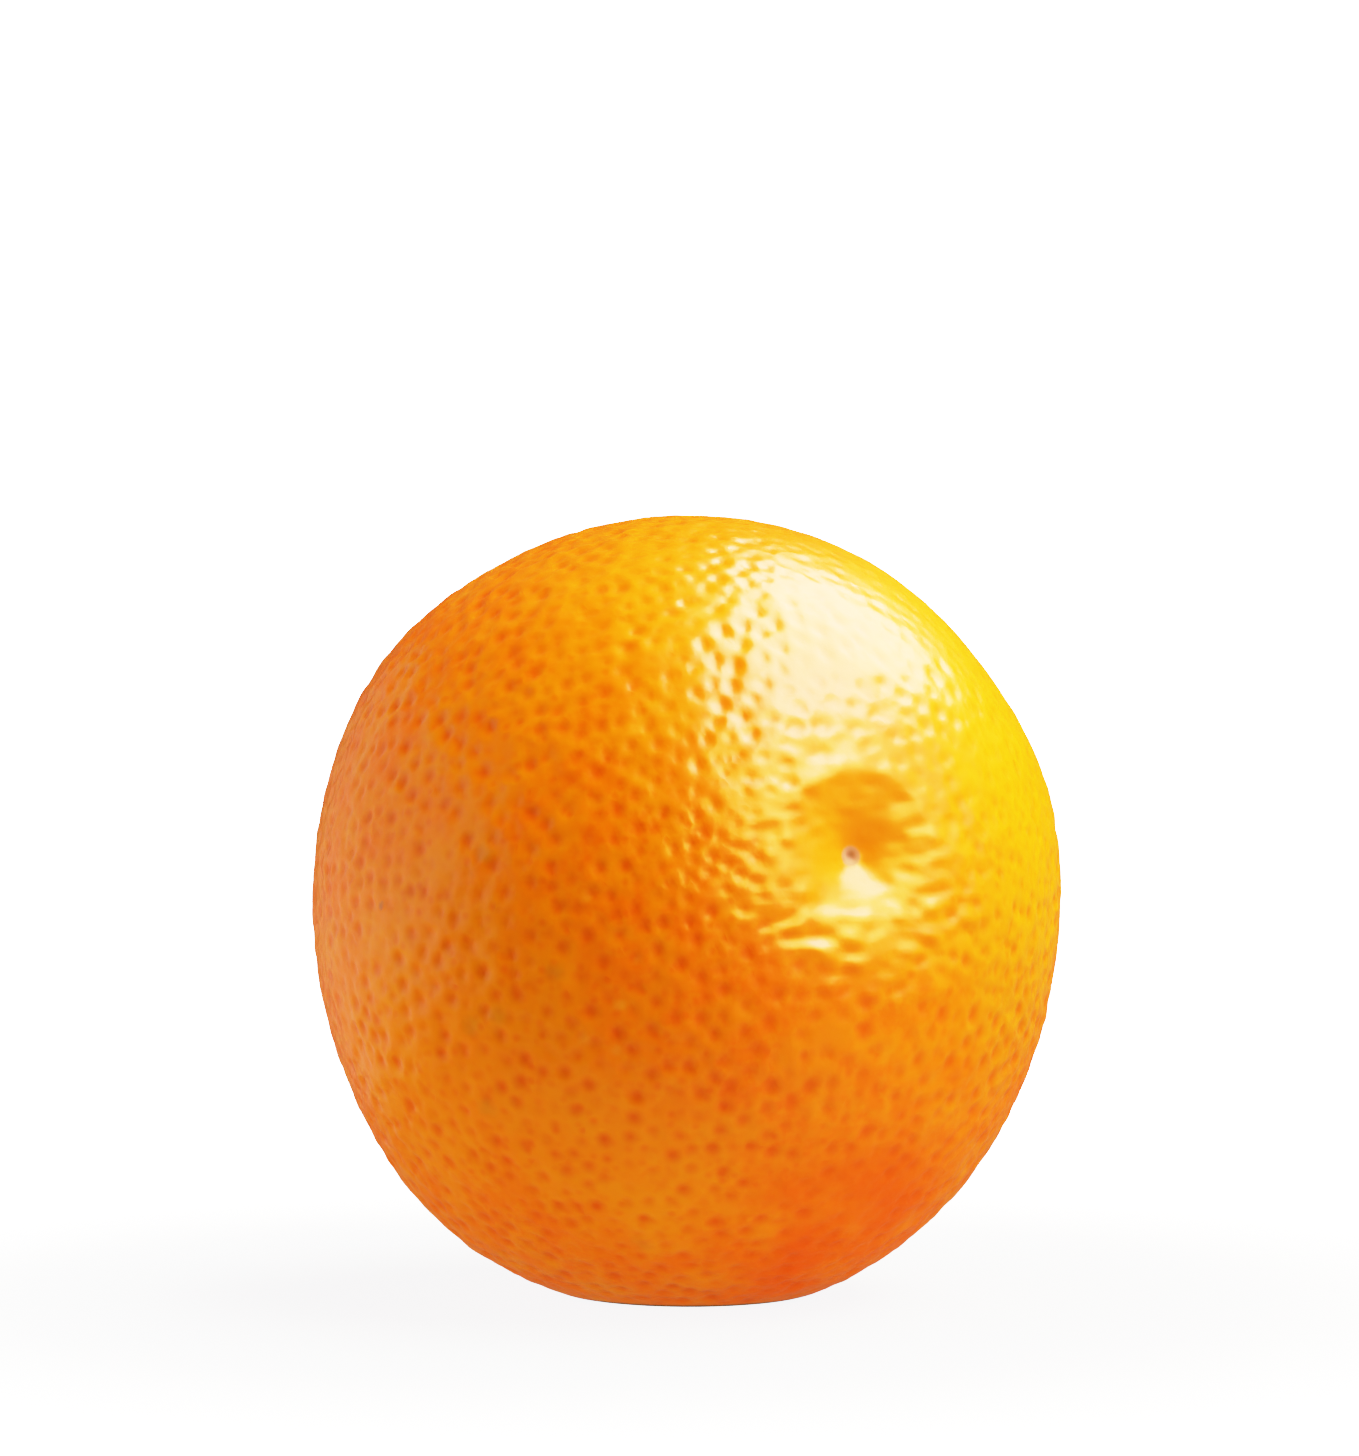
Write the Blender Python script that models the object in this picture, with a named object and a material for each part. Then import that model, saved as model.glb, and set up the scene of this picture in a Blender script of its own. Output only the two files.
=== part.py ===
"""An orange as picked: one whole fruit and its stem button, resting on a small flat spot.

The fruit leans over. Its blossom end, a dimple round the scar of the style, looks out to the front
right; its stem end, where the woody button sits in a shallow hollow, looks to the back left.
Metres, +Z up, +X to the right, -Y to the front. The origin is the middle of the flat spot.
"""

from math import asin, cos, exp, hypot, pi, radians, sin, sqrt

import bmesh
import bpy
from mathutils import Vector

MM = 0.001

# The rind, measured from the fruit's heart.
HALF_WIDTH = 37.3 * MM
HALF_DEPTH = 36.8 * MM
ABOVE_HEART = 39.0 * MM
BELOW_HEART = 40.8 * MM
HEART_HEIGHT = 39.0 * MM  # less than BELOW_HEART, so the underside rests flat
FOOT_BEND = 0.45 * MM  # how far above and below the ground the rind bends into the flat spot

# Broad swellings (+) and hollows (-) of the rind: azimuth from the front towards the right,
# elevation, angular spread, height.
SWELLINGS = (
    (-90, 38, 21, 1.0 * MM),
    (90, 18, 15, 0.6 * MM),
    (95, 60, 18, 0.3 * MM),
    (-90, -52, 19, 0.8 * MM),
    (85, -56, 28, 0.5 * MM),
    (150, 42, 28, 0.5 * MM),
    (135, -22, 24, -0.4 * MM),
    (-140, 10, 26, 0.4 * MM),
    (175, -40, 26, 0.4 * MM),
    (27, 9, 21, -0.9 * MM),
)

# The two ends of the fruit's own axis: azimuth and elevation, then the hollow there as depth, reach
# and the power of its bend, which is 1 for a cone with a sharp bottom and 2 for a round bowl.
BLOSSOM_END = (28.5, 10.6)
BLOSSOM_DIMPLE = (3.2 * MM, 5.0 * MM, 1.6)
DIMPLE_SQUARENESS = 3  # 2 would make the dimple round; more gives it four nearly flat sides
STEM_END = (206.0, -6.0)
STEM_HOLLOW = (2.4 * MM, 8.5 * MM, 2)

# The stem button: a calyx of five woody sepals with the clipped stalk standing on it.
SEPALS = 5
SEPAL_TIP = 4.7 * MM
SEPAL_NOTCH = 3.1 * MM
SEPAL_POINT = 1.4  # 1 draws the tips sharp, 2 draws them as round as the notches
CALYX_GAP = 0.35 * MM  # clear of the rind
CALYX_EDGE = 0.3 * MM  # thickness of the upright edge all round
CALYX_RIM = 0.7 * MM
CALYX_CROWN = 1.3 * MM
STALK_FLARE = 2.1 * MM
STALK_RADIUS = 1.6 * MM
STALK_HEIGHT = 2.3 * MM
STALK_CUP = 0.3 * MM  # how far the clipped end is dished

RIND_SUBDIVISIONS = 5
FINE_FACETS_WITHIN = 13 * MM  # round both ends and the flat spot
BUTTON_STEPS = 40


def towards(azimuth, elevation):
    """Unit vector at an azimuth from the front towards the right and an elevation, in degrees."""
    turn, lift = radians(azimuth), radians(elevation)
    return Vector((sin(turn) * cos(lift), -cos(turn) * cos(lift), sin(lift)))


HEART = Vector((0, 0, HEART_HEIGHT))
BLOSSOM = towards(*BLOSSOM_END)
STEM = towards(*STEM_END)
UP = Vector((0, 0, 1))
DOWN = -UP
BLOSSOM_SIDE = UP.cross(BLOSSOM).normalized()
BLOSSOM_UP = BLOSSOM.cross(BLOSSOM_SIDE)


def hollow_depth(off_axis, depth, reach, power):
    """How far a hollow sinks the rind at a distance from its middle."""
    return depth * exp(-((off_axis / reach) ** power))


def dimple_squaring(way):
    """How much nearer its middle a direction counts in the dimple's corners than on its flat sides."""
    across, along = abs(way.dot(BLOSSOM_SIDE)), abs(way.dot(BLOSSOM_UP))
    if across + along == 0:
        return 1.0
    squared = (across**DIMPLE_SQUARENESS + along**DIMPLE_SQUARENESS) ** (1 / DIMPLE_SQUARENESS)
    return squared / hypot(across, along)


def rind_point(way):
    """The point of the rind along a unit vector from the heart."""
    half_height = ABOVE_HEART if way.z > 0 else BELOW_HEART
    radius = 1 / sqrt((way.x / HALF_WIDTH) ** 2 + (way.y / HALF_DEPTH) ** 2 + (way.z / half_height) ** 2)
    for azimuth, elevation, spread, height in SWELLINGS:
        off = way.angle(towards(azimuth, elevation)) / radians(spread)
        radius += height * exp(-off * off)
    radius -= hollow_depth(HALF_WIDTH * way.angle(BLOSSOM) * dimple_squaring(way), *BLOSSOM_DIMPLE)
    radius -= hollow_depth(HALF_WIDTH * way.angle(STEM), *STEM_HOLLOW)
    point = HEART + way * radius
    point.z = settled(point.z)
    return point


def settled(height):
    """A height near the ground once the fruit has settled: a smooth bend from the rind to the flat."""
    if height >= FOOT_BEND:
        return height
    if height <= -FOOT_BEND:
        return 0.0
    return (height + FOOT_BEND) ** 2 / (4 * FOOT_BEND)


def new_material(name, colour, roughness):
    material = bpy.data.materials.new(name)
    material.use_nodes = True
    shader = material.node_tree.nodes["Principled BSDF"]
    shader.inputs["Base Color"].default_value = (*colour, 1)
    shader.inputs["Roughness"].default_value = roughness
    shader.inputs["Metallic"].default_value = 0
    return material


def new_object(name, shape, material, sharp_angle):
    """An object that takes over a finished bmesh, smooth but for edges past the sharp angle."""
    bmesh.ops.recalc_face_normals(shape, faces=shape.faces)
    mesh = bpy.data.meshes.new(name)
    shape.to_mesh(mesh)
    shape.free()
    mesh.shade_smooth()
    mesh.set_sharp_from_angle(angle=radians(sharp_angle))
    mesh.materials.append(material)
    made = bpy.data.objects.new(name, mesh)
    bpy.context.scene.collection.objects.link(made)
    return made


def make_fruit():
    """A sphere with finer facets round its ends and its foot, drawn onto the rind."""
    shape = bmesh.new()
    bmesh.ops.create_icosphere(shape, subdivisions=RIND_SUBDIVISIONS, radius=1)
    reach = FINE_FACETS_WITHIN / HALF_WIDTH
    fine = [
        edge
        for edge in shape.edges
        if any(all(v.co.angle(centre) < reach for v in edge.verts) for centre in (BLOSSOM, STEM, DOWN))
    ]
    bmesh.ops.subdivide_edges(shape, edges=fine, cuts=1, use_grid_fill=True)
    bmesh.ops.triangulate(shape, faces=shape.faces)
    for vert in shape.verts:
        vert.co = rind_point(vert.co.normalized())
    peel = new_material("orange_peel", (0.90, 0.27, 0.02), 0.35)
    return new_object("fruit", shape, peel, sharp_angle=60)


def sepal_edge(turn):
    """Distance from the stalk's middle to the calyx's outline: blunt sepals with rounded notches."""
    return SEPAL_TIP - (SEPAL_TIP - SEPAL_NOTCH) * abs(sin(SEPALS * turn / 2)) ** SEPAL_POINT


def over_stem_end(distance, turn, lift):
    """A point a distance from the middle of the stem end, on a bearing round it, lifted off the rind."""
    across = STEM.cross(DOWN).normalized()
    along = STEM.cross(across)
    slant = asin(distance / HALF_WIDTH)
    way = STEM * cos(slant) + (across * cos(turn) + along * sin(turn)) * sin(slant)
    return rind_point(way) + way * lift


def make_stem_button():
    """The calyx and stalk, drawn out ring by ring: underside, edge, crown, stalk, dished end."""
    rings = (
        (lambda turn: sepal_edge(turn) - CALYX_EDGE, 0),
        (lambda turn: sepal_edge(turn), CALYX_EDGE),
        (lambda turn: sepal_edge(turn) - CALYX_EDGE, CALYX_RIM),
        (lambda turn: STALK_FLARE, CALYX_CROWN),
        (lambda turn: STALK_RADIUS, (CALYX_CROWN + STALK_HEIGHT) / 2),
        (lambda turn: STALK_RADIUS, STALK_HEIGHT),
        (lambda turn: 0.8 * STALK_RADIUS, STALK_HEIGHT),
        (lambda turn: 0.4 * STALK_RADIUS, STALK_HEIGHT - STALK_CUP),
    )
    shape = bmesh.new()
    turns = [2 * pi * step / BUTTON_STEPS for step in range(BUTTON_STEPS)]
    ring = bmesh.ops.create_circle(shape, cap_ends=True, segments=BUTTON_STEPS, radius=1)["verts"]
    edges = shape.edges[:]
    for level, (reach, lift) in enumerate(rings):
        if level:
            grown = bmesh.ops.extrude_edge_only(shape, edges=edges)["geom"]
            ring = [part for part in grown if isinstance(part, bmesh.types.BMVert)]
            edges = [part for part in grown if isinstance(part, bmesh.types.BMEdge) and part.is_boundary]
        for vert, turn in zip(ring, turns):
            vert.co = over_stem_end(reach(turn), turn, CALYX_GAP + lift)
    bmesh.ops.edgenet_fill(shape, edges=edges)
    wood = new_material("button_wood", (0.24, 0.21, 0.07), 0.8)
    return new_object("stem_button", shape, wood, sharp_angle=35)


def main():
    for old in list(bpy.data.objects):
        bpy.data.objects.remove(old)
    make_fruit()
    make_stem_button()


main()
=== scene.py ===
# %% [markdown]
# # An orange
#
# A whole sweet orange at rest, with the dimple and scar of its blossom end turned to the front
# right. The CAD model gives its size and its place: a plain rind, a flat spot to rest on and a
# simple stem button. This script draws the same rind finely enough to hold the shallow pits over
# its oil glands, remodels the button, and gives both the colours of a ripe fruit.

# %% The CAD frame
from math import asin, atan2, cos, exp, hypot, pi, radians, sin, sqrt

import bmesh
import bpy
from mathutils import Matrix, Vector, noise
from mathutils.bvhtree import BVHTree


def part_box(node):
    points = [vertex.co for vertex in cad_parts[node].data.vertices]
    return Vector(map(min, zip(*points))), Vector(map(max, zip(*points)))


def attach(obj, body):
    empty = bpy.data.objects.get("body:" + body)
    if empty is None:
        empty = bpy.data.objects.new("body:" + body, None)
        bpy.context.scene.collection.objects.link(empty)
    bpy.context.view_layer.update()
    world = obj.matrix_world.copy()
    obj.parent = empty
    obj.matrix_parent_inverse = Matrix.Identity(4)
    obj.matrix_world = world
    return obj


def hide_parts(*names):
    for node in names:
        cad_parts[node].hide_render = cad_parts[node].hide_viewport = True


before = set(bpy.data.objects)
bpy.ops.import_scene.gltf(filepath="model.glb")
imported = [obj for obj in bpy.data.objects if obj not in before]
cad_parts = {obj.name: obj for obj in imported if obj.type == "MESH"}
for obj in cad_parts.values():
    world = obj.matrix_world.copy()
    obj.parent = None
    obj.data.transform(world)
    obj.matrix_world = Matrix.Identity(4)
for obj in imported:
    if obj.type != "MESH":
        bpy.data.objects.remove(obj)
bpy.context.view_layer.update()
MM = 0.001
fruit_low, fruit_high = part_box("fruit")
fruit_middle = (fruit_low + fruit_high) / 2
print("the fruit measures", [round(size / MM, 1) for size in fruit_high - fruit_low], "mm")

# %% [markdown]
# ## Camera
#
# A fruit keeps its true outline only from a distance, so the camera stands half a metre away with
# a long lens, a little above the middle of the fruit. It aims over the fruit, which leaves more
# room above it than below.

# %% Camera
CAMERA_DISTANCE = 487 * MM
CAMERA_ELEVATION = 3
AIM = Vector((-0.7 * MM, 0, 17.7 * MM))

camera = bpy.data.objects.new("camera", bpy.data.cameras.new("camera"))
camera.data.lens = 120
camera.data.sensor_width = 36
camera.data.clip_start = 10 * MM
camera.data.clip_end = 20
elevation = radians(CAMERA_ELEVATION)
camera.location = fruit_middle + CAMERA_DISTANCE * Vector((0, -cos(elevation), sin(elevation)))
camera.rotation_euler = (fruit_middle + AIM - camera.location).to_track_quat("-Z", "Y").to_euler()
bpy.context.scene.collection.objects.link(camera)
bpy.context.scene.camera = camera
print("the camera looks from", [round(place / MM) for place in camera.location], "mm")

# %% [markdown]
# ## Nodes by name
#
# Materials, the sky and the relief of the rind are all node trees. This helper adds one node with
# its settings, and takes each input as a plain value or as the socket it is joined to.


# %% A helper for node trees
def add_node(tree, kind, inputs=None, **settings):
    made = tree.nodes.new(kind)
    for name, value in settings.items():
        setattr(made, name, value)
    for socket, value in (inputs or {}).items():
        if isinstance(value, bpy.types.NodeSocket):
            tree.links.new(value, made.inputs[socket])
        else:
            made.inputs[socket].default_value = value
    return made


def calculate(tree, operation, *values):
    return add_node(tree, "ShaderNodeMath", dict(enumerate(values)), operation=operation).outputs[0]


def multiply(tree, first, second):
    return calculate(tree, "MULTIPLY", first, second)


def remap(tree, value, low, high, to_low=0.0, to_high=1.0):
    """A value eased from one range to another, and held at both ends."""
    inputs = {"Value": value, "From Min": low, "From Max": high, "To Min": to_low, "To Max": to_high}
    return add_node(tree, "ShaderNodeMapRange", inputs, interpolation_type="SMOOTHSTEP").outputs[0]


def mix_colours(tree, factor, first, second):
    return add_node(tree, "ShaderNodeMix", {0: factor, 6: first, 7: second}, data_type="RGBA").outputs[2]


# %% [markdown]
# ## Light
#
# One large softbox stands above the fruit, to the right and a little behind it, and its mirror
# image is the bright window on the peel. A dim window on the left gives that side its sheen, and
# two warm lights in front of the dimple only show as gloss. Cards, which never show in the gloss,
# fill the shaded sides. One lies on the floor under the fruit, for the light that a white table
# throws back up.

# %% Softboxes and cards
def softbox(name, place, size, power, colour=(1, 1, 1), mirrored=True, roll=0):
    """A soft light at a place measured from the middle of the fruit, which it faces."""
    light = bpy.data.lights.new(name, "AREA")
    light.shape = "RECTANGLE"
    light.size, light.size_y = size
    light.energy = power
    light.color = colour
    made = bpy.data.objects.new(name, light)
    made.location = fruit_middle + Vector(place)
    facing = (-Vector(place)).to_track_quat("-Z", "Y").to_matrix()
    made.rotation_euler = (facing @ Matrix.Rotation(radians(roll), 3, "Z")).to_euler()
    made.visible_glossy = mirrored
    made.visible_camera = False
    bpy.context.scene.collection.objects.link(made)
    return made


softbox("key_softbox", (0.25, 0.03, 0.43), (0.6, 0.35), 10.2, (1, 0.93, 0.7), roll=-10)
softbox("key_card", (0.41, -0.19, 0.28), (0.5, 0.5), 4.2, (1, 0.92, 0.85), mirrored=False)
softbox("right_card", (0.45, -0.55, 0.05), (0.7, 0.7), 1.15, mirrored=False)
softbox("left_card", (-0.68, -0.04, 0.04), (0.7, 0.7), 3.7, mirrored=False)
softbox("left_window", (-0.5, 0.13, 0.03), (0.95, 0.55), 1.3, (1, 0.85, 0.6))
softbox("floor_card", (0, 0, 0.3 * MM - fruit_middle.z), (0.13, 0.13), 0.04, mirrored=False)
softbox("low_left_card", (-0.2, 0.02, -0.02), (0.2, 0.036), 0.1, mirrored=False)
front_glow = softbox("front_glow", (0.3, -0.3, 0.42), (0.3, 0.25), 2.4, (1, 0.9, 0.6))
warm_glow = softbox("warm_glow", (0.35, -0.41, 0.26), (0.46, 0.3), 5.5, (1, 0.62, 0.12))
for glow in (front_glow, warm_glow):
    glow.visible_diffuse = False
print("the fruit is lit by", len(bpy.data.lights), "lights")

# %% [markdown]
# ## Room
#
# The room behind and to the left is pale, and shows as the soft sheen along the left side of the
# rind. The room in front is dark, which keeps the shaded side deep in colour. The camera itself
# sees plain white in every direction.

# %% Room
SEEN_WHITE = 8.0  # bright enough to come out white

world = bpy.data.worlds.new("room")
world.use_nodes = True
sky = world.node_tree
sky.nodes.clear()
direction = add_node(sky, "ShaderNodeTexCoord").outputs["Generated"]
facing = add_node(sky, "ShaderNodeSeparateXYZ", {0: direction})
behind_fruit = remap(sky, facing.outputs["Y"], -0.3, 0.5)
left = remap(sky, facing.outputs["X"], 0.3, -0.5)
low_down = remap(sky, facing.outputs["Z"], 0.2, -0.2)
pale = calculate(sky, "MAXIMUM", multiply(sky, left, 0.15), multiply(sky, low_down, 0.2))
room_light = calculate(sky, "MULTIPLY_ADD", behind_fruit, pale, 0.015)
seen = add_node(sky, "ShaderNodeLightPath").outputs["Is Camera Ray"]
strengths = {0: seen, 2: room_light, 3: SEEN_WHITE}
strength = add_node(sky, "ShaderNodeMix", strengths, data_type="FLOAT").outputs[0]
room = add_node(sky, "ShaderNodeBackground", {"Color": (1, 1, 1, 1), "Strength": strength})
add_node(sky, "ShaderNodeOutputWorld", {"Surface": room.outputs[0]})
bpy.context.scene.world = world

# %% [markdown]
# ## Floor
#
# A white table would fill the picture with light, but it would also wash out the colour of the
# peel. So the floor is a grey disc that glows for the camera only, less under the fruit, where a
# faint grey is left of its shadow.

# %% Floor
shape = bmesh.new()
bmesh.ops.create_circle(shape, cap_ends=True, segments=96, radius=3)
floor_mesh = bpy.data.meshes.new("floor")
shape.to_mesh(floor_mesh)
shape.free()
floor = bpy.data.objects.new("floor", floor_mesh)
bpy.context.scene.collection.objects.link(floor)
floor.visible_glossy = False
paint = bpy.data.materials.new("floor_paint")
paint.use_nodes = True
tree = paint.node_tree
white = tree.nodes["Principled BSDF"]
white.inputs["Base Color"].default_value = (0.2, 0.2, 0.2, 1)
white.inputs["Roughness"].default_value = 0.9
place = add_node(tree, "ShaderNodeTexCoord").outputs["Object"]
from_fruit = add_node(tree, "ShaderNodeVectorMath", {0: place}, operation="LENGTH").outputs["Value"]
seen = add_node(tree, "ShaderNodeLightPath").outputs["Is Camera Ray"]
glow = multiply(tree, seen, remap(tree, from_fruit, 0.03, 0.2, SEEN_WHITE / 5, SEEN_WHITE))
white.inputs["Emission Color"].default_value = (1, 1, 1, 1)
tree.links.new(glow, white.inputs["Emission Strength"])
floor_mesh.materials.append(paint)

# %% [markdown]
# ## Tone
#
# The brightest gloss is several times brighter than white. Held at white it would be a hard-edged
# blot, so a shoulder in the tone curve eases it in. A curve of its own darkens the faint blues,
# which keeps the orange of the peel deep.

# %% Tone curve
WHITE = 4.0
SHOULDER = ((0.3, 0.3), (0.6, 0.6), (1.0, 0.8), (1.7, 0.92), (3.0, 0.975))
BLUE_TOE = ((0.02, 0.004), (0.05, 0.016), (0.1, 0.06), (0.2, 0.18), (0.4, 0.4))
view = bpy.context.scene.view_settings
view.view_transform = "Standard"
view.use_curve_mapping = True
tone = view.curve_mapping
tone.white_level = (WHITE, WHITE, WHITE)
for bright, shown in BLUE_TOE:
    tone.curves[2].points.new(bright / WHITE, shown / WHITE)
for bright, shown in SHOULDER:
    tone.curves[3].points.new(bright / WHITE, shown)
tone.update()

# %% [markdown]
# ## The rind
#
# An orange is an egg-round body with broad swellings, hollowed at its two ends and settled flat
# where it rests. The rind could be sculpted by hand, but the CAD model already states the shape as
# a rule: how far the rind lies from the heart of the fruit in each direction. The same rule draws
# a much finer sphere here, so that both agree. Only the upper half of the blossom end's dimple is
# drawn rounder here.
#
# The broad swellings and hollows are each given by azimuth from the front towards the right,
# elevation, angular spread and height, which is negative for a hollow.

# %% The size of the rind and its swellings
HALF_WIDTH = 37.3 * MM
HALF_DEPTH = 36.8 * MM
ABOVE_HEART = 39.0 * MM
BELOW_HEART = 40.8 * MM
HEART_HEIGHT = 39.0 * MM  # less than BELOW_HEART, so the underside rests flat
FOOT_BEND = 0.45 * MM  # how far above and below the ground the rind bends into the flat spot

SWELLINGS = (
    (-90, 38, 21, 1.0 * MM),
    (90, 18, 15, 0.6 * MM),
    (95, 60, 18, 0.3 * MM),
    (-90, -52, 19, 0.8 * MM),
    (85, -56, 28, 0.5 * MM),
    (150, 42, 28, 0.5 * MM),
    (135, -22, 24, -0.4 * MM),
    (-140, 10, 26, 0.4 * MM),
    (175, -40, 26, 0.4 * MM),
    (27, 9, 21, -0.9 * MM),
)

# %% [markdown]
# The two ends of the fruit's own axis are each given by azimuth and elevation, then by the depth
# and reach of the hollow there and the power of its bend.

# %% The two ends
BLOSSOM_END = (28.5, 10.6)
BLOSSOM_DIMPLE = (3.2 * MM, 5.0 * MM, 1.6)
DIMPLE_SQUARENESS = 3  # 2 would make the dimple round; more gives it four nearly flat sides
UPPER_SQUARENESS = 2.2  # the same for the upper half, which the CAD model draws like the lower one
STEM_END = (206.0, -6.0)
STEM_HOLLOW = (2.4 * MM, 8.5 * MM, 2)


def towards(azimuth, elevation):
    """Unit vector at an azimuth from the front towards the right and an elevation, in degrees."""
    turn, lift = radians(azimuth), radians(elevation)
    return Vector((sin(turn) * cos(lift), -cos(turn) * cos(lift), sin(lift)))


HEART = Vector((0, 0, HEART_HEIGHT))
BLOSSOM = towards(*BLOSSOM_END)
STEM = towards(*STEM_END)
UP = Vector((0, 0, 1))
BLOSSOM_SIDE = UP.cross(BLOSSOM).normalized()
BLOSSOM_UP = BLOSSOM.cross(BLOSSOM_SIDE)


# %% The rule for the rind
def hollow_depth(off_axis, depth, reach, power):
    """How far a hollow sinks the rind at a distance from its middle."""
    return depth * exp(-((off_axis / reach) ** power))


def dimple_squaring(way):
    """How much nearer its middle a direction counts in the dimple's corners than on its flat sides."""
    across, along = abs(way.dot(BLOSSOM_SIDE)), abs(way.dot(BLOSSOM_UP))
    if across + along == 0:
        return 1.0
    power = DIMPLE_SQUARENESS if way.dot(BLOSSOM_UP) < 0 else UPPER_SQUARENESS
    squared = (across**power + along**power) ** (1 / power)
    return squared / hypot(across, along)


def rind_point(way):
    """The point of the rind along a unit vector from the heart."""
    half_height = ABOVE_HEART if way.z > 0 else BELOW_HEART
    radius = 1 / sqrt((way.x / HALF_WIDTH) ** 2 + (way.y / HALF_DEPTH) ** 2 + (way.z / half_height) ** 2)
    for azimuth, elevation, spread, height in SWELLINGS:
        off = way.angle(towards(azimuth, elevation)) / radians(spread)
        radius += height * exp(-off * off)
    radius -= hollow_depth(HALF_WIDTH * way.angle(BLOSSOM) * dimple_squaring(way), *BLOSSOM_DIMPLE)
    radius -= hollow_depth(HALF_WIDTH * way.angle(STEM), *STEM_HOLLOW)
    point = HEART + way * radius
    point.z = settled(point.z)
    return point


def settled(height):
    """A height near the ground once the fruit has settled: a smooth bend from the rind to the flat."""
    if height >= FOOT_BEND:
        return height
    if height <= -FOOT_BEND:
        return 0.0
    return (height + FOOT_BEND) ** 2 / (4 * FOOT_BEND)


# %% [markdown]
# ### Small forms at the two ends
#
# The CAD model leaves out what is less than half a millimetre high. At the blossom end that is the
# scar of the style, a pit within a raised ring; a low lip along the upper edge of the dimple; and
# short level wrinkles in the skin beside and below it. At the stem end, furrows run out from under
# the button. Each is a simple rule of the distance from its end, so each is added to the same rule.

# %% Small forms at the two ends
SCAR_RING = (0.05 * MM, 0.75 * MM, 0.4 * MM)  # height, radius and width of the rim round the scar
SCAR_PIT = (0.15 * MM, 0.5 * MM)  # depth and reach of the pit inside it
BLOSSOM_LIP = (0.3 * MM, 8.2 * MM, 1.3 * MM)  # the lip of the dimple: height, radius, width
WRINKLES = (0.42 * MM, 10.5 * MM, 5 * MM)  # the wrinkles round the dimple: height, radius, width
FURROWS = 7
FURROW = (0.35 * MM, 7.5 * MM, 2.6 * MM)  # the furrows round the button: depth, radius, width
STEM_SIDE = STEM.cross(UP).normalized()
STEM_UP = STEM_SIDE.cross(STEM).normalized()


def ring(distance, height, radius, width):
    return height * exp(-(((distance - radius) / width) ** 2))


def blossom_forms(way):
    """How far the scar, the lip and the wrinkles raise the rind along a unit vector."""
    from_scar = HALF_WIDTH * way.angle(BLOSSOM)
    above = 0.5 + 0.5 * cos(atan2(way.dot(BLOSSOM_SIDE), way.dot(BLOSSOM_UP)))
    lip = above * ring(from_scar * dimple_squaring(way), *BLOSSOM_LIP)
    level = Vector((way.dot(BLOSSOM_SIDE) / 3, way.dot(BLOSSOM_UP) / 1.4, 0)) * HALF_WIDTH / MM
    wrinkle = noise.noise(level) * (1 - above**2) * ring(from_scar, *WRINKLES)
    pit = SCAR_PIT[0] * exp(-((from_scar / SCAR_PIT[1]) ** 2))
    return ring(from_scar, *SCAR_RING) + lip + wrinkle - pit


def furrow_depth(way):
    """How far the furrows round the button sink the rind along a unit vector."""
    turn = atan2(way.dot(STEM_SIDE), way.dot(STEM_UP))
    wobble = 0.5 * sin(2 * turn + 1) + 0.35 * sin(3 * turn)
    spokes = (0.5 + 0.5 * cos(FURROWS * turn + wobble)) ** 2
    return ring(HALF_WIDTH * way.angle(STEM), *FURROW) * spokes


# %% [markdown]
# ### The rind as a mesh
#
# The pits of the peel are hardly more than a millimetre wide, so the sphere is cut into triangles
# of about half a millimetre, and finer at the two ends. A sphere of latitudes and longitudes would
# crowd its faces at two poles; one grown from an icosahedron spreads them evenly.

# %% A fine sphere drawn onto the rind
RIND_SUBDIVISIONS = 6
RIND_CUTS = 2


def refine(shape, centre, distance, cuts):
    """Cuts the edges of a unit sphere that lie within a distance, on the rind, of a direction."""
    reach = distance / HALF_WIDTH
    near = [edge for edge in shape.edges if all(v.co.angle(centre) < reach for v in edge.verts)]
    bmesh.ops.subdivide_edges(shape, edges=near, cuts=cuts, use_grid_fill=True)
    for vert in shape.verts:
        vert.co.normalize()


shape = bmesh.new()
bmesh.ops.create_icosphere(shape, subdivisions=RIND_SUBDIVISIONS, radius=1)
bmesh.ops.subdivide_edges(shape, edges=shape.edges, cuts=RIND_CUTS, use_grid_fill=True)
for vert in shape.verts:
    vert.co.normalize()
refine(shape, BLOSSOM, 3 * MM, 2)
refine(shape, STEM, 6 * MM, 1)
bmesh.ops.triangulate(shape, faces=shape.faces)
for vert in shape.verts:
    way = vert.co.normalized()
    vert.co = rind_point(way) + way * (blossom_forms(way) - furrow_depth(way))
rind_mesh = bpy.data.meshes.new("smooth_rind")
shape.to_mesh(rind_mesh)
shape.free()
rind = bpy.data.objects.new("orange_rind", rind_mesh)
bpy.context.scene.collection.objects.link(rind)
cad_rind = BVHTree.FromObject(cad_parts["fruit"], bpy.context.evaluated_depsgraph_get())
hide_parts("fruit")
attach(rind, "root")
print("the rind has", len(rind_mesh.polygons), "triangles")

# %% [markdown]
# ## Oil glands
#
# The peel is full of oil glands. Each large one leaves a shallow pit, and the pits keep a rather
# even distance from each other. Cell patterns were tried and gave scales, or pits in rows. Points
# scattered on the rind itself with a least distance between them look grown, so a tree of geometry
# nodes scatters them and measures how far each bit of the rind is from its nearest gland. Round the
# scar the skin was drawn out sideways as the fruit grew, so the points are scattered on a rind that
# is squeezed sideways there.

# %% Places on the rind
def vector_maths(tree, operation, *values, output="Vector", **named):
    inputs = dict(enumerate(values)) | named
    return add_node(tree, "ShaderNodeVectorMath", inputs, operation=operation).outputs[output]


def place_in_mm(tree, position):
    """A position measured from the heart of the fruit, in millimetres."""
    return vector_maths(tree, "SCALE", vector_maths(tree, "SUBTRACT", position, HEART), Scale=1 / MM)


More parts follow.
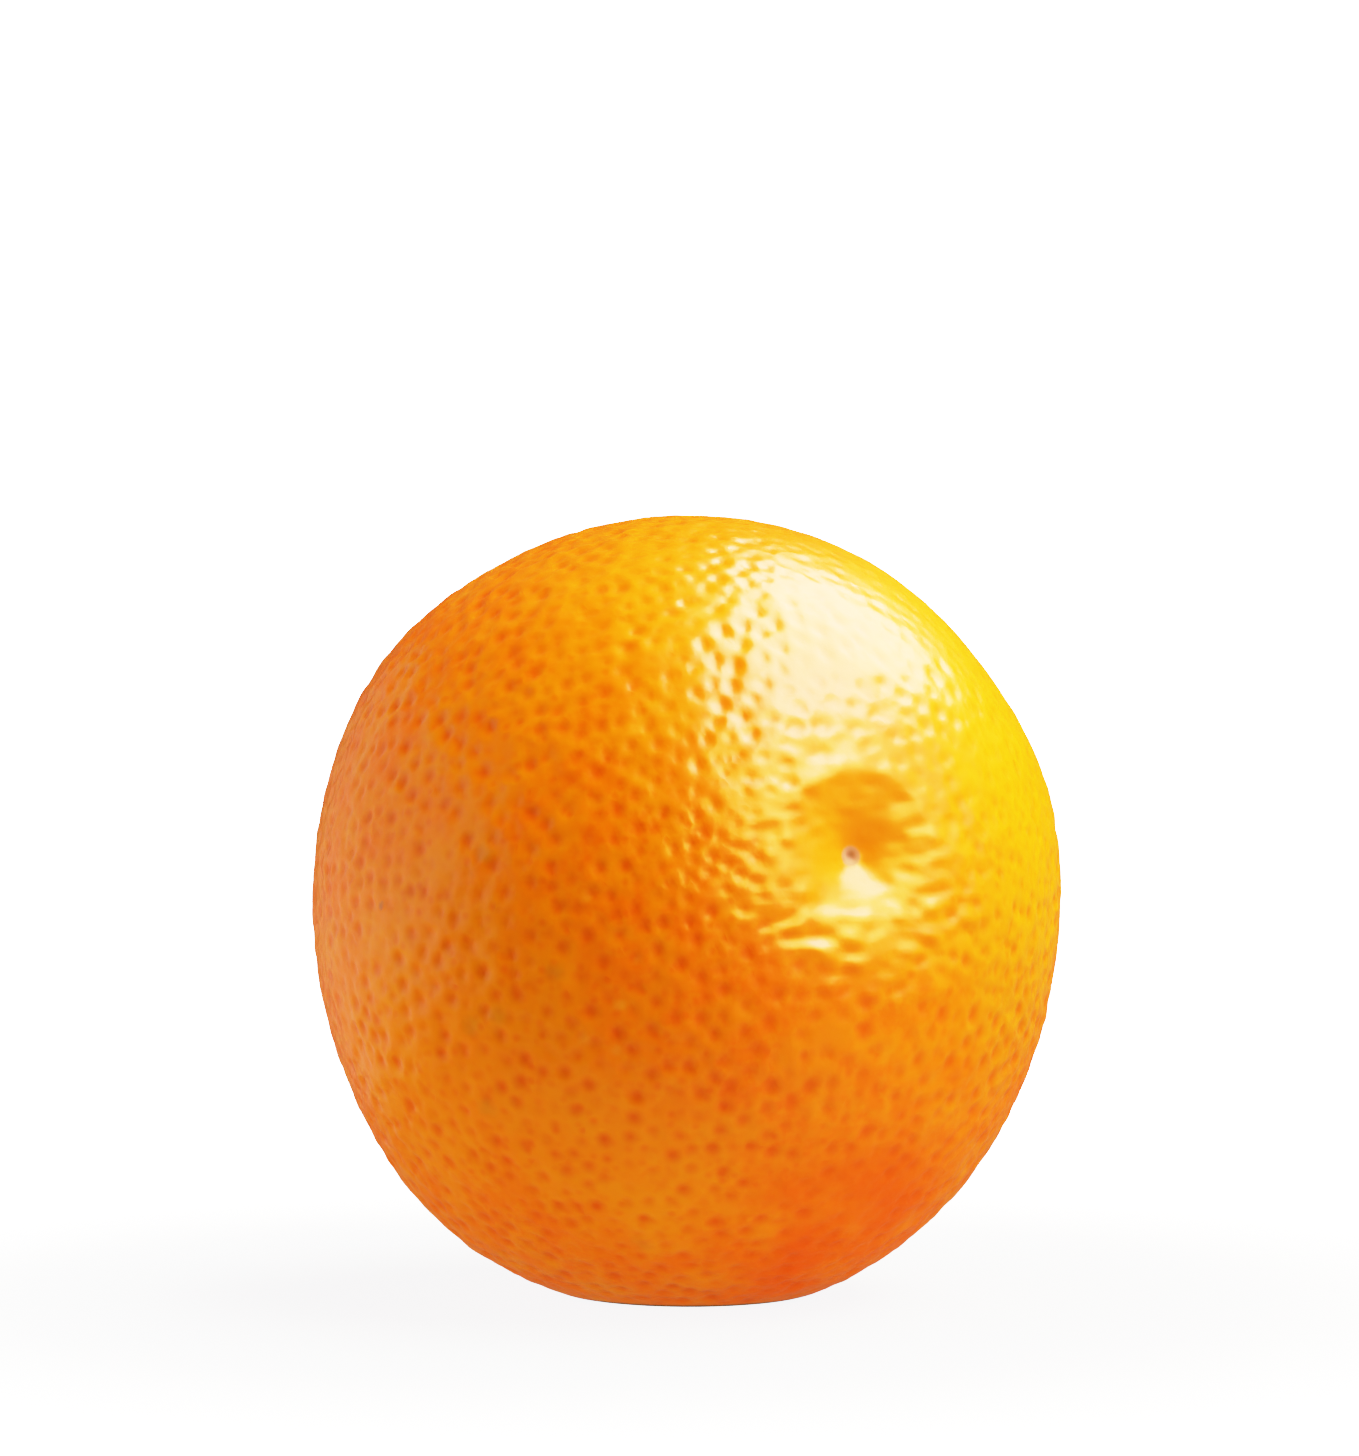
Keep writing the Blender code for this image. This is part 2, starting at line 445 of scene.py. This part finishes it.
def distance_to_scar(tree, way):
    """How far a unit vector lies from the one to the scar: 0 at the scar, 2 at the opposite side."""
    return vector_maths(tree, "DISTANCE", way, BLOSSOM, output="Value")


def drawn_sideways(tree, place):
    """Places squeezed sideways round the scar, so that a pattern read there is drawn out sideways."""
    close = remap(tree, distance_to_scar(tree, vector_maths(tree, "NORMALIZE", place)), 0.75, 0.1)
    across = vector_maths(tree, "DOT_PRODUCT", place, BLOSSOM_SIDE, output="Value")
    along = vector_maths(tree, "DOT_PRODUCT", place, BLOSSOM_UP, output="Value")
    squeeze = vector_maths(tree, "SCALE", BLOSSOM_SIDE, Scale=multiply(tree, across, -0.4))
    spread = vector_maths(tree, "SCALE", BLOSSOM_UP, Scale=multiply(tree, along, 0.35))
    shift = vector_maths(tree, "SCALE", vector_maths(tree, "ADD", squeeze, spread), Scale=close)
    return vector_maths(tree, "ADD", place, shift)


def noise_field(tree, place, size, detail=2.0, roughness=0.5):
    """Soft noise from 0 to 1, in waves of a size in millimetres."""
    inputs = {"Vector": place, "Scale": 1 / size, "Detail": detail, "Roughness": roughness}
    return add_node(tree, "ShaderNodeTexNoise", inputs).outputs[0]


# %% Glands scattered over the rind
GLAND_GAP = 1.75  # mm, the least distance between the middles of two glands

relief = bpy.data.node_groups.new("gland_relief", "GeometryNodeTree")
relief.interface.new_socket("Rind", in_out="INPUT", socket_type="NodeSocketGeometry")
relief.interface.new_socket("Rind", in_out="OUTPUT", socket_type="NodeSocketGeometry")
plain_rind = add_node(relief, "NodeGroupInput").outputs[0]
position = add_node(relief, "GeometryNodeInputPosition").outputs[0]
place = place_in_mm(relief, position)
drawn = drawn_sideways(relief, place)
squeezed = {"Geometry": plain_rind, "Position": drawn}
squeezed_rind = add_node(relief, "GeometryNodeSetPosition", squeezed).outputs[0]
rule = {"Mesh": squeezed_rind, "Distance Min": GLAND_GAP, "Density Max": 3.0, "Seed": 4}
scattered = add_node(relief, "GeometryNodeDistributePointsOnFaces", rule, distribute_method="POISSON")
glands = scattered.outputs["Points"]
nearest = {"Target": glands, "Source Position": drawn}
near = add_node(relief, "GeometryNodeProximity", nearest, target_element="POINTS").outputs["Distance"]
nearest = {"Geometry": glands, "Sample Position": drawn}
which = add_node(relief, "GeometryNodeSampleNearest", nearest).outputs[0]
own = add_node(relief, "FunctionNodeRandomValue", {"ID": which}, data_type="FLOAT").outputs[1]
near = calculate(relief, "DIVIDE", near, calculate(relief, "MULTIPLY_ADD", own, 0.4, 0.8))

# %% [markdown]
# The peel material needs the same glands for its dots, so the distance to the nearest one and its
# own size are stored on the mesh. The relief itself is pits, with the broader waves and finer
# ripples of a peel that has dried a little. The pits are shallower round the scar. The whole relief
# is lower on the smooth golden cheek, and fades out at the scar and at the flat spot.

# %% Relief of the rind
PIT_REACH = 1.1  # all in mm
PIT_DEPTH = 0.25
WAVES = (3.4, 0.36)  # size along the rind and height
RIPPLES = (1.7, 0.12)

marked = plain_rind
for name, value in (("from_gland", near), ("gland_size", own)):
    stored = {"Geometry": marked, "Name": name, "Value": value}
    marked = add_node(relief, "GeometryNodeStoreNamedAttribute", stored, data_type="FLOAT").outputs[0]
deepness = calculate(relief, "MULTIPLY_ADD", own, 0.6, 0.4)
pits = multiply(relief, remap(relief, near, 0.0, PIT_REACH, 1.0, 0.0), deepness)
way = vector_maths(relief, "NORMALIZE", place)
from_scar = distance_to_scar(relief, way)
pits = multiply(relief, pits, remap(relief, from_scar, 0.1, 0.45, 0.4, 1.0))
waves = calculate(relief, "SUBTRACT", noise_field(relief, drawn, WAVES[0], 1.0), 0.5)
ripples = calculate(relief, "SUBTRACT", noise_field(relief, place, RIPPLES[0], 0.0), 0.5)
waves = calculate(relief, "MULTIPLY_ADD", waves, WAVES[1], multiply(relief, ripples, RIPPLES[1]))
height = calculate(relief, "MULTIPLY_ADD", pits, -PIT_DEPTH, waves)
above_ground = add_node(relief, "ShaderNodeSeparateXYZ", {0: position}).outputs[2]
height = multiply(relief, height, remap(relief, from_scar, 0.03, 0.12))
height = multiply(relief, height, remap(relief, above_ground, 0.0, 1.5 * MM))
off_cheek = vector_maths(relief, "DISTANCE", way, towards(80, 50), output="Value")
height = multiply(relief, height, remap(relief, off_cheek, 0.25, 0.8, 0.45, 1.0))
normal = add_node(relief, "GeometryNodeInputNormal").outputs[0]
shift = vector_maths(relief, "SCALE", normal, Scale=multiply(relief, height, MM))
moved = add_node(relief, "GeometryNodeSetPosition", {"Geometry": marked, "Offset": shift})
add_node(relief, "NodeGroupOutput", {0: moved.outputs[0]})

# %% The relief made part of the mesh
rind.modifiers.new("glands", "NODES").node_group = relief
bpy.context.view_layer.update()
pitted = rind.evaluated_get(bpy.context.evaluated_depsgraph_get())
rind.data = bpy.data.meshes.new_from_object(pitted)
rind.modifiers.clear()
bpy.data.meshes.remove(rind_mesh)
rind_mesh = rind.data
rind_mesh.name = "orange_rind"
rind_mesh.shade_smooth()
furthest = max(cad_rind.find_nearest(vert.co)[3] for vert in rind_mesh.vertices[:][::50])
print("the rind lies within", round(furthest / MM, 2), "mm of the CAD rind")

# %% [markdown]
# ## Peel
#
# A ripe peel isn't one orange. It is mottled, redder where the sun reached it, more golden on the
# other cheek and greenish at the stem. The golden cheek is partly the peel's own colour and partly
# painted light, where the softbox falls strongest, and the gold round the dimple is painted light.
# The dull patches on the top, the upper left shoulder, the right side and below the cheek are
# painted shade, which tones down where the lamps fall too brightly. Each of these is a soft round
# patch about a direction from the heart of the fruit, laid over the mottled ground colour one
# after the other.

# %% Mottled ground colour
peel = bpy.data.materials.new("orange_peel")
peel.use_nodes = True
tree = peel.node_tree
skin = tree.nodes["Principled BSDF"]
place = place_in_mm(tree, add_node(tree, "ShaderNodeTexCoord").outputs["Object"])
way = vector_maths(tree, "NORMALIZE", place)


def patch(azimuth, elevation, inner, outer):
    """A round patch of the rind about a direction, full within one angle and gone at another."""
    closeness = vector_maths(tree, "DOT_PRODUCT", way, towards(azimuth, elevation), output="Value")
    return remap(tree, closeness, cos(radians(outer)), cos(radians(inner)))


mottle = remap(tree, noise_field(tree, place, 5, 4.0, 0.6), 0.35, 0.65)
skin_colour = mix_colours(tree, mottle, (0.94, 0.13, 0.003, 1), (0.9, 0.185, 0.005, 1))
network = remap(tree, noise_field(tree, place, 2.2, 3.0, 0.6), 0.5, 0.7)
skin_colour = mix_colours(tree, multiply(tree, network, 0.4), skin_colour, (0.93, 0.23, 0.01, 1))

# %% Patches of other colours
cloudy = remap(tree, noise_field(tree, place, 12, 3.0), 0.25, 0.6)
blush = multiply(tree, patch(37, -53, 2, 26), cloudy)
skin_colour = mix_colours(tree, blush, skin_colour, (0.9, 0.07, 0.002, 1))
PATCHES = (
    ((10, -14, 2, 22), 0.2, (0.92, 0.09, 0.003, 1)),  # red belly
    ((-38, -14, 5, 36), 0.6, (0.9, 0.21, 0.005, 1)),  # golden left
    # painted shade: the shoulder darkened where the softbox lights it too brightly
    ((-14, 60, 4, 28), 0.6, (0.78, 0.15, 0.003, 1)),  # deep shoulder
    # partly the peel's own gold, partly painted light where the softbox falls strongest
    ((62, 48, 15, 75), 0.6, (0.97, 0.24, 0.005, 1)),  # golden cheek
    ((24, 24, 4, 22), 0.5, (0.98, 0.16, 0.004, 1)),  # warm above the dimple
    # painted light: brighter gold round the dimple, standing in for the glow of light there
    ((28.5, 9, 7, 22), 0.6, (1, 0.25, 0.01, 1)),  # gold round the dimple
    # painted shade: a duller patch below the cheek, toning down the lamps there
    ((62, -8, 4, 22), 0.8, (0.72, 0.2, 0.005, 1)),  # dull below the cheek
    ((-8, -38, 3, 20), 0.5, (0.9, 0.24, 0.006, 1)),  # golden chin
    ((-34, 26, 3, 16), 0.45, (0.85, 0.22, 0.006, 1)),  # golden temple
    # painted shade: the top darkened where the softbox falls too brightly
    ((0, 88, 5, 38), 0.7, (0.7, 0.14, 0.004, 1)),  # dull top
    # painted shade: the right side darkened where the softbox falls too brightly
    ((88, 28, 8, 48), 0.6, (0.72, 0.25, 0.006, 1)),  # dull side
)
for where, amount, patch_colour in PATCHES:
    tinted = multiply(tree, patch(*where), amount)
    skin_colour = mix_colours(tree, tinted, skin_colour, patch_colour)
print("the peel has", len(PATCHES) + 1, "patches")

# %% [markdown]
# ### Dots
#
# The oil in a gland makes its pit look darker and redder than the skin between. Between the large
# glands lie many small ones, too fine for the mesh, which are a cell pattern of their own. The
# dots are fainter near the scar, and fainter on the golden cheek, which is partly painted light:
# the washed-out look of the side the softbox lights most.

# %% Dots over the glands
SMALL_CELL = 1.2
near = add_node(tree, "ShaderNodeAttribute", attribute_name="from_gland").outputs["Fac"]
own = add_node(tree, "ShaderNodeAttribute", attribute_name="gland_size").outputs["Fac"]
darkness = calculate(tree, "MULTIPLY_ADD", own, 0.9, 0.15)
big_pits = multiply(tree, remap(tree, near, 0.0, PIT_REACH, 1.0, 0.0), darkness)

rule = {"Vector": drawn_sideways(tree, place), "Scale": 1 / SMALL_CELL, "Randomness": 0.9}
cells = add_node(tree, "ShaderNodeTexVoronoi", rule, feature="F1")
cell_size = add_node(tree, "ShaderNodeSeparateXYZ", {0: cells.outputs["Color"]}).outputs[0]
dot = remap(tree, multiply(tree, cells.outputs["Distance"], SMALL_CELL), 0.0, 0.7, 1.0, 0.0)
small_pits = multiply(tree, dot, cell_size)

from_scar = distance_to_scar(tree, way)
dimple_fade = remap(tree, from_scar, 0.05, 0.45)
# the dots fade on the golden cheek, partly painted light: the washed-out look of its lit side
off_cheek = calculate(tree, "MULTIPLY_ADD", patch(62, 48, 15, 75), -0.75, 1.0)
spotted = multiply(tree, dimple_fade, off_cheek)
small_dots = multiply(tree, multiply(tree, small_pits, 0.6), spotted)
skin_colour = mix_colours(tree, small_dots, skin_colour, (0.83, 0.085, 0.003, 1))
big_dots = multiply(tree, multiply(tree, big_pits, 0.75), spotted)
skin_colour = mix_colours(tree, big_dots, skin_colour, (0.76, 0.06, 0.004, 1))

# %% Green left round the stem
stem_tint = multiply(tree, patch(*STEM_END, 6, 26), remap(tree, noise_field(tree, place, 7, 3.0), 0.3, 0.7))
stem_tint = multiply(tree, stem_tint, 0.6)
skin_colour = mix_colours(tree, stem_tint, skin_colour, (0.58, 0.25, 0.012, 1))

# %% [markdown]
# ### Marks
#
# Leaves and branches leave a few marks on a fruit: dull smudges, pale flecks and dark specks. They
# are too few and too uneven for a pattern, so each has its own azimuth and elevation, and noise
# bends their outlines.

# %% Marks
uneven = add_node(tree, "ShaderNodeTexNoise", {"Vector": place, "Scale": 0.6}).outputs["Color"]
bent = vector_maths(tree, "ADD", place, vector_maths(tree, "SCALE", uneven, Scale=1.2))
bent = vector_maths(tree, "NORMALIZE", bent)


def marks(places, width):
    """Soft marks of a width in millimetres at directions from the heart, with uneven edges."""
    nearest = 1.0
    for mark in places:
        off = vector_maths(tree, "DISTANCE", bent, towards(*mark), output="Value")
        nearest = calculate(tree, "MINIMUM", nearest, off)
    reach = width * MM / HALF_WIDTH
    return remap(tree, nearest, 0.1 * reach, reach, 1.0, 0.0)


SMUDGES = ((-31, 11), (-19, -6), (-29, -13), (-34, -15), (-34, -28), (-9, -53), (140, 25), (-110, -20))
FLECKS = ((-14, 5), (-6, -4), (-9, -11), (-15, -16), (-10, -18), (100, -10), (-150, 35))
SPECKS = ((-52, 3), (120, 40), (-95, -35), (165, -30))
for places, width, amount, mark_colour in (
    (SMUDGES, 1.6, 0.3, (0.45, 0.19, 0.03, 1)),
    (FLECKS, 0.9, 0.25, (0.85, 0.33, 0.06, 1)),
    (SPECKS, 0.6, 0.6, (0.3, 0.12, 0.07, 1)),
):
    marked = multiply(tree, marks(places, width), amount)
    skin_colour = mix_colours(tree, marked, skin_colour, mark_colour)

# %% [markdown]
# ### Scar and gloss
#
# The scar is dry brown cork and matt. The skin round it is waxy, so its gloss is fairly sharp, and
# a little light enters it and spreads inside, red the furthest. The smallest unevenness of the
# skin is left to a bump.

# %% Scar and gloss
scar_place = remap(tree, from_scar, 0.022, 0.036, 1.0, 0.0)
skin_colour = mix_colours(tree, scar_place, skin_colour, (0.5, 0.21, 0.11, 1))
scar_heart = remap(tree, from_scar, 0.008, 0.02, 1.0, 0.0)
skin_colour = mix_colours(tree, scar_heart, skin_colour, (0.42, 0.17, 0.1, 1))
tree.links.new(skin_colour, skin.inputs["Base Color"])
tree.links.new(remap(tree, scar_place, 0, 1, 0.3, 0.7), skin.inputs["Roughness"])

bumps = multiply(tree, multiply(tree, small_pits, -0.03), dimple_fade)
bumps = calculate(tree, "MULTIPLY_ADD", noise_field(tree, place, 0.8, 2.0), 0.02, bumps)
bump = add_node(tree, "ShaderNodeBump", {"Height": bumps, "Distance": MM})
tree.links.new(bump.outputs[0], skin.inputs["Normal"])
skin.inputs["Specular IOR Level"].default_value = 0.47
skin.inputs["Subsurface Weight"].default_value = 0.12
skin.inputs["Subsurface Radius"].default_value = (3, 1, 0.4)
skin.inputs["Subsurface Scale"].default_value = MM
rind_mesh.materials.append(peel)

# %% [markdown]
# ## The stem button
#
# A picked orange keeps its calyx, five blunt woody sepals grown together, with the clipped end of
# the stalk standing on it. It could be one star pressed flat, but the real one follows the hollow
# of the rind and thickens towards the stalk, so it is drawn out ring by ring from its edge to the
# middle of the clipped end, and each ring is laid over the rind.

# %% Stem button
SEPALS = 5
SEPAL_TIP = 4.7 * MM
SEPAL_NOTCH = 3.1 * MM
SEPAL_POINT = 1.4  # 1 draws the tips sharp, 2 draws them as round as the notches
BUTTON_STEPS = 160
PROFILE = (  # how far out, from 0 at the middle to 1 at the calyx's edge, and how high, in mm
    (0.9, -0.3), (0.98, -0.05), (1, 0.25), (0.97, 0.5), (0.9, 0.66), (0.82, 0.76),  # edge and crown
    (0.74, 0.86), (0.66, 0.96), (0.58, 1.08), (0.5, 1.25), (0.44, 1.5), (0.41, 1.8),  # up the stalk
    (0.4, 2.1), (0.405, 2.35), (0.395, 2.5), (0.36, 2.55), (0.32, 2.5), (0.28, 2.36),  # clipped rim
    (0.22, 2.3), (0.15, 2.3), (0.1, 2.2), (0.05, 2.16),  # dished end
)
STALK_BASE = 0.5  # the profile's width where the sepals end and the round stalk begins
STALK_REACH = 4 * MM  # what a width of 1 would be on the stalk


def sepal_edge(turn):
    """Distance from the stalk's middle to the calyx's outline: blunt sepals with rounded notches."""
    ragged = 0.12 * MM * noise.noise(Vector((4 * cos(turn), 4 * sin(turn), 2)))
    return SEPAL_TIP - (SEPAL_TIP - SEPAL_NOTCH) * abs(sin(SEPALS * turn / 2)) ** SEPAL_POINT + ragged


def button_point(width, height, turn):
    """A point of the button on a bearing round the stalk, laid over the rind."""
    sepal = min(max((width - STALK_BASE) / (1 - STALK_BASE), 0), 1)
    distance = width * (sepal * sepal_edge(turn) + (1 - sepal) * STALK_REACH)
    rib = noise.noise(Vector((9 * cos(turn), 9 * sin(turn), 3 * width)))
    keel = cos(SEPALS * turn) * sepal * (1 - sepal)
    height = height * MM + 0.1 * MM * rib * min(1, 8 * width) + 0.3 * MM * keel
    slant = asin(distance / HALF_WIDTH)
    way = STEM * cos(slant) + (STEM_SIDE * cos(turn) - STEM_UP * sin(turn)) * sin(slant)
    return rind_point(way) + way * (height + 0.15 * MM)


shape = bmesh.new()
turns = [2 * pi * step / BUTTON_STEPS for step in range(BUTTON_STEPS)]
ring_verts = bmesh.ops.create_circle(shape, cap_ends=True, segments=BUTTON_STEPS, radius=1)["verts"]
edges = shape.edges[:]
for level, (width, height) in enumerate(PROFILE):
    if level:
        grown = bmesh.ops.extrude_edge_only(shape, edges=edges)["geom"]
        ring_verts = [part for part in grown if isinstance(part, bmesh.types.BMVert)]
        edges = [part for part in grown if isinstance(part, bmesh.types.BMEdge) and part.is_boundary]
    for vert, turn in zip(ring_verts, turns):
        vert.co = button_point(width, height, turn)
bmesh.ops.edgenet_fill(shape, edges=edges)
bmesh.ops.recalc_face_normals(shape, faces=shape.faces)
button_mesh = bpy.data.meshes.new("orange_button")
shape.to_mesh(button_mesh)
shape.free()
button_mesh.shade_smooth()
button = bpy.data.objects.new("orange_button", button_mesh)
bpy.context.scene.collection.objects.link(button)
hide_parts("stem_button")
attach(button, "root")
print("the button has", len(button_mesh.polygons), "faces")

# %% [markdown]
# ### Wood
#
# The dry calyx is olive brown and matt, streaked by fibres that run out along the sepals and up
# the stalk. The clipped end shows paler wood round a dark pith.

# %% Wood of the button
wood = bpy.data.materials.new("button_wood")
wood.use_nodes = True
tree = wood.node_tree
bark = tree.nodes["Principled BSDF"]
stem_foot = rind_point(STEM)
place = vector_maths(tree, "SUBTRACT", add_node(tree, "ShaderNodeTexCoord").outputs["Object"], stem_foot)
place = vector_maths(tree, "SCALE", place, Scale=1 / MM)
raised = vector_maths(tree, "DOT_PRODUCT", place, STEM, output="Value")
across = vector_maths(tree, "DOT_PRODUCT", place, STEM_SIDE, output="Value")
along = vector_maths(tree, "DOT_PRODUCT", place, STEM_UP, output="Value")
bearing = calculate(tree, "ARCTAN2", along, across)
squares = calculate(tree, "ADD", multiply(tree, across, across), multiply(tree, along, along))
off_axis = calculate(tree, "SQRT", squares)
outward = multiply(tree, calculate(tree, "ADD", off_axis, raised), 0.5)
round_x = multiply(tree, calculate(tree, "COSINE", bearing), 6)
round_y = multiply(tree, calculate(tree, "SINE", bearing), 6)
around = add_node(tree, "ShaderNodeCombineXYZ", {0: round_x, 1: round_y, 2: outward}).outputs[0]
fibres = remap(tree, noise_field(tree, around, 1, 3.0, 0.6), 0.35, 0.7)
wood_colour = mix_colours(tree, fibres, (0.16, 0.13, 0.035, 1), (0.33, 0.26, 0.09, 1))
stains = remap(tree, noise_field(tree, place, 1.5, 3.0), 0.45, 0.7)
wood_colour = mix_colours(tree, multiply(tree, stains, 0.7), wood_colour, (0.09, 0.055, 0.02, 1))
dry_edge = remap(tree, off_axis, 2.9, 4.3)
wood_colour = mix_colours(tree, multiply(tree, dry_edge, 0.5), wood_colour, (0.38, 0.24, 0.09, 1))
clipped = multiply(tree, remap(tree, raised, 2.2, 2.45), remap(tree, off_axis, 1.25, 1.5, 1.0, 0.0))
off_pith = remap(tree, off_axis, 0.35, 0.6)
cut_colour = mix_colours(tree, off_pith, (0.13, 0.08, 0.03, 1), (0.45, 0.34, 0.17, 1))
wood_colour = mix_colours(tree, clipped, wood_colour, cut_colour)
tree.links.new(wood_colour, bark.inputs["Base Color"])
grain = multiply(tree, noise_field(tree, around, 0.6, 3.0, 0.6), 0.12)
bump = add_node(tree, "ShaderNodeBump", {"Height": grain, "Distance": MM})
tree.links.new(bump.outputs[0], bark.inputs["Normal"])
bark.inputs["Roughness"].default_value = 0.8
bark.inputs["Specular IOR Level"].default_value = 0.3
button_mesh.materials.append(wood)
